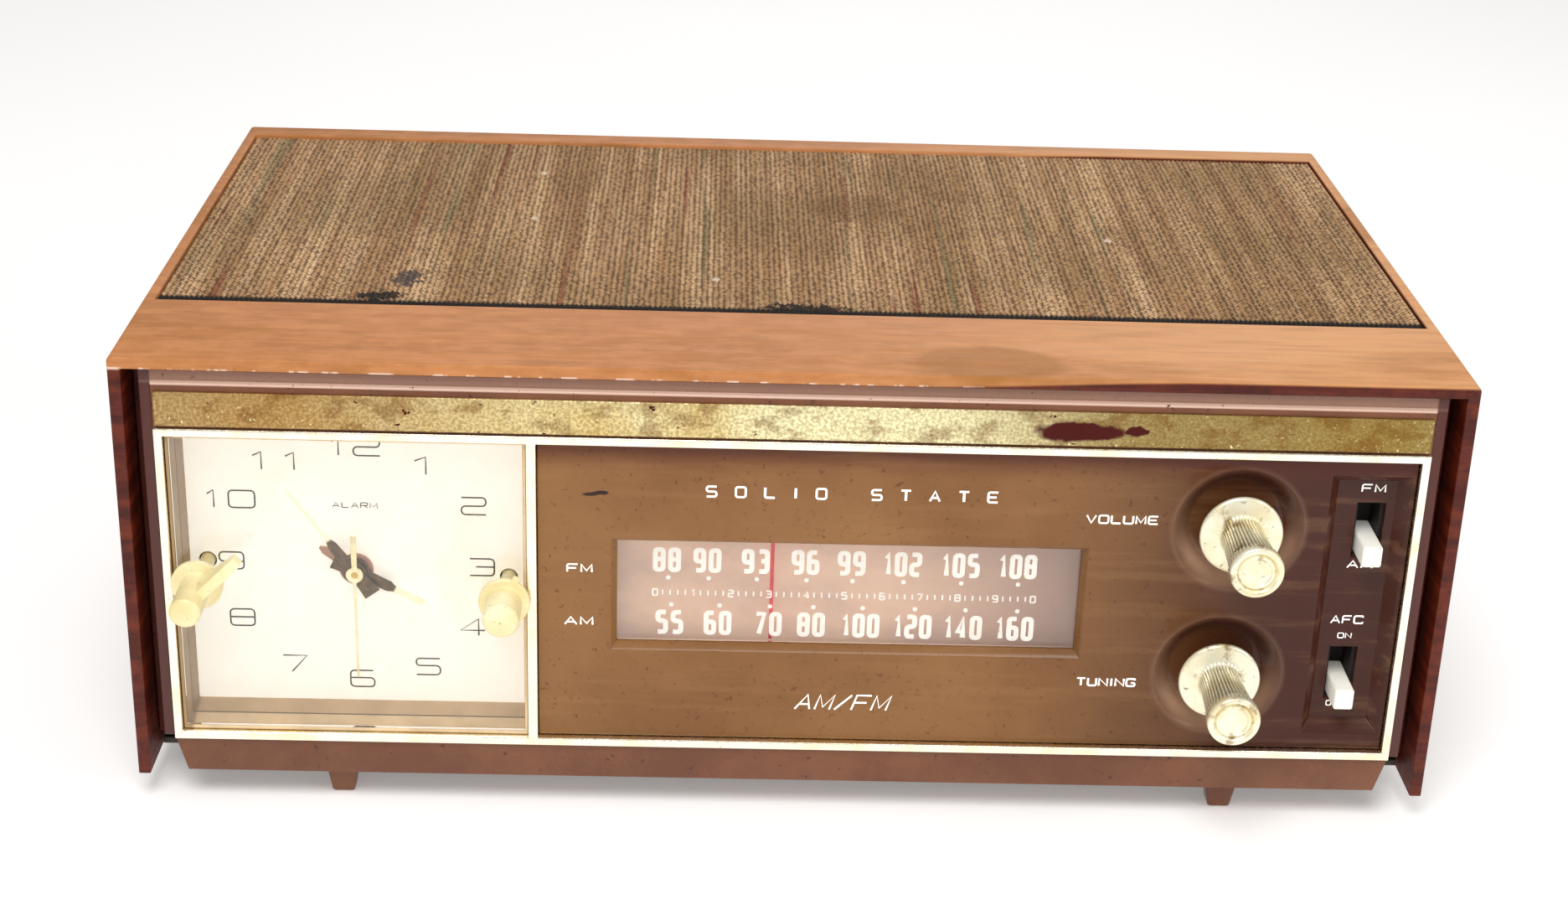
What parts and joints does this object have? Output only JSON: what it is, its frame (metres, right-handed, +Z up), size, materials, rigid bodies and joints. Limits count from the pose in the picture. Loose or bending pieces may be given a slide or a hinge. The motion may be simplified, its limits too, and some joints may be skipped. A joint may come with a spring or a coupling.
{
  "type": "clock radio",
  "caption": "Table clock radio with a wood-grain cabinet, cloth-covered top grille, square analogue clock, slide-rule tuning dial, knobs and slide switches.",
  "frame": {"origin": "on the surface the feet stand on, under the middle of the bounding box", "axes": "+Z up, the front with the dials faces -Y, +X to the right seen from the front"},
  "size_m": [0.32, 0.212, 0.118],
  "materials": {
    "wood_grain_plastic": "printed wood grain, tan on top and dark red-brown on the sides, worn",
    "hardboard": "pressed board, matt",
    "grille_fabric": "ribbed woven cloth, grey-brown with red threads",
    "brown_plastic": "moulded, satin gloss",
    "gold_trim": "plated, aged and speckled",
    "panel_plastic": "moulded, satin, printed legends",
    "clear_plastic": "clear moulded plastic, polished",
    "pale_paint": "matt paint",
    "red_plastic": "moulded",
    "lamp_glass": "clear glass",
    "plated_steel": "zinc plated",
    "cord_fibre": "waxed twine",
    "white_plastic": "moulded",
    "aluminium": "pressed sheet",
    "knob_gold": "plated plastic, aged, fluted neck",
    "mask_plastic": "moulded, satin",
    "dial_paint": "ivory paint, printed figures",
    "dark_plastic": "moulded, matt",
    "cream_plastic": "moulded, aged",
    "hand_metal": "stamped, gilt and dark paint",
    "brass": "stamped",
    "copper_can": "drawn, lacquered",
    "core_steel": "laminated steel, varnished",
    "coil_tape": "varnished tape",
    "speaker_paper": "pressed paper pulp",
    "board_laminate": "phenolic laminate",
    "capacitor_sleeve": "sleeve",
    "ferrite": "fired, matt"
  },
  "bodies": {
    "cabinet": {"cabinet_shell": "wood_grain_plastic", "grille_board": "hardboard", "grille_cloth": "grille_fabric", "front_moulding": "brown_plastic", "gold_frame": "gold_trim", "gold_brow_strip": "gold_trim", "radio_panel": "panel_plastic", "dial_lens": "clear_plastic", "dial_plate": "pale_paint", "dial_lamp": "lamp_glass", "chassis_plate": "plated_steel", "dial_cord": "cord_fibre", "capacitor_frame": "aluminium", "volume_control": "plated_steel", "slide_switches": "dark_plastic", "clock_mask": "mask_plastic", "clock_crystal": "clear_plastic", "clock_dial": "dial_paint", "selector_switches": "dark_plastic", "movement_front_plate": "brass", "movement_back_plate": "brass", "rotor_can": "copper_can", "motor_core": "core_steel", "motor_coil": "coil_tape", "base_pan": "dark_plastic", "feet": "brown_plastic", "back_cover": "hardboard", "cover_screws": "plated_steel", "speaker_basket": "plated_steel", "speaker_cone": "speaker_paper", "speaker_magnet": "core_steel", "circuit_board": "board_laminate", "coil_cans": "aluminium", "electrolytics": "capacitor_sleeve", "power_transformer": "core_steel", "ferrite_aerial": "ferrite"},
    "volume": {"volume_knob": "knob_gold", "volume_shaft": "plated_steel"},
    "tuning": {"tuning_knob": "knob_gold", "tuning_shaft": "plated_steel"},
    "drum": {"dial_drum": "white_plastic", "capacitor_rotor": "aluminium"},
    "pointer": {"dial_pointer": "red_plastic"},
    "band_lever": {"band_switch_lever": "white_plastic"},
    "afc_lever": {"afc_switch_lever": "white_plastic"},
    "function_selector": {"function_knob": "cream_plastic"},
    "sleep_selector": {"sleep_knob": "cream_plastic"},
    "alarm_pointer": {"alarm_hand": "hand_metal", "alarm_wheel": "brass"},
    "hours": {"hour_hand": "hand_metal", "hour_wheel": "brass"},
    "minutes": {"minute_hand": "hand_metal", "cannon_pinion": "brass"},
    "seconds": {"second_hand": "hand_metal", "second_wheel": "brass"},
    "time_setter": {"minute_wheel": "brass", "time_set_knob": "dark_plastic"},
    "alarm_setter": {"alarm_set_shaft": "brass", "alarm_set_knob": "dark_plastic"},
    "motor_pinion": {"rotor_pinion": "plated_steel"}
  },
  "joints": [
    {"name": "volume_turn", "type": "hinge", "parent": "cabinet", "child": "volume", "pos_m": [0.107, 0, 0.0792], "axis": [0, 1, 0], "range_deg": [-60, 240]},
    {"name": "tuning_turn", "type": "hinge", "parent": "cabinet", "child": "tuning", "pos_m": [0.1056, 0, 0.0398], "axis": [0, 1, 0], "range_deg": [-470.92, 1004.64]},
    {"name": "drum_turn", "type": "hinge", "parent": "cabinet", "child": "drum", "pos_m": [0.038, 0, 0.046], "axis": [0, 1, 0], "range_deg": [-57.5, 122.5]},
    {"name": "pointer_slide", "type": "slide", "parent": "cabinet", "child": "pointer", "axis": [1, 0, 0], "range_m": [-0.0301, 0.0641]},
    {"name": "band_lever_slide", "type": "slide", "parent": "cabinet", "child": "band_lever", "axis": [0, 0, 1], "range_m": [0, 0.0084]},
    {"name": "afc_lever_slide", "type": "slide", "parent": "cabinet", "child": "afc_lever", "axis": [0, 0, 1], "range_m": [0, 0.0084]},
    {"name": "function_turn", "type": "hinge", "parent": "cabinet", "child": "function_selector", "pos_m": [-0.1422, 0, 0.0606], "axis": [0, 1, 0], "range_deg": [-30, 90]},
    {"name": "sleep_turn", "type": "hinge", "parent": "cabinet", "child": "sleep_selector", "pos_m": [-0.069, 0, 0.0576], "axis": [0, 1, 0], "range_deg": [0, 270]},
    {"name": "minute_turn", "type": "hinge", "parent": "cabinet", "child": "minutes", "pos_m": [-0.106, 0, 0.0595], "axis": [0, 1, 0], "continuous": true},
    {"name": "hour_turn", "type": "hinge", "parent": "cabinet", "child": "hours", "pos_m": [-0.106, 0, 0.0595], "axis": [0, 1, 0], "continuous": true},
    {"name": "time_set_turn", "type": "hinge", "parent": "cabinet", "child": "time_setter", "pos_m": [-0.118, 0, 0.0595], "axis": [0, 1, 0], "continuous": true},
    {"name": "second_turn", "type": "hinge", "parent": "cabinet", "child": "seconds", "pos_m": [-0.106, 0, 0.0595], "axis": [0, 1, 0], "continuous": true},
    {"name": "motor_turn", "type": "hinge", "parent": "cabinet", "child": "motor_pinion", "pos_m": [-0.106, 0, 0.048], "axis": [0, 1, 0], "continuous": true},
    {"name": "alarm_set_turn", "type": "hinge", "parent": "cabinet", "child": "alarm_setter", "pos_m": [-0.091, 0, 0.0595], "axis": [0, 1, 0], "continuous": true},
    {"name": "alarm_turn", "type": "hinge", "parent": "cabinet", "child": "alarm_pointer", "pos_m": [-0.106, 0, 0.0595], "axis": [0, 1, 0], "continuous": true}
  ],
  "couplings": [
    {"joint": "drum_turn", "follows": "tuning_turn", "ratio": 0.12167},
    {"joint": "pointer_slide", "follows": "tuning_turn", "m_per_rad": 0.00365},
    {"joint": "hour_turn", "follows": "minute_turn", "ratio": 0.083333},
    {"joint": "time_set_turn", "follows": "minute_turn", "ratio": -0.33333},
    {"joint": "motor_turn", "follows": "second_turn", "ratio": -3.6},
    {"joint": "alarm_turn", "follows": "alarm_set_turn", "ratio": -0.25}
  ]
}
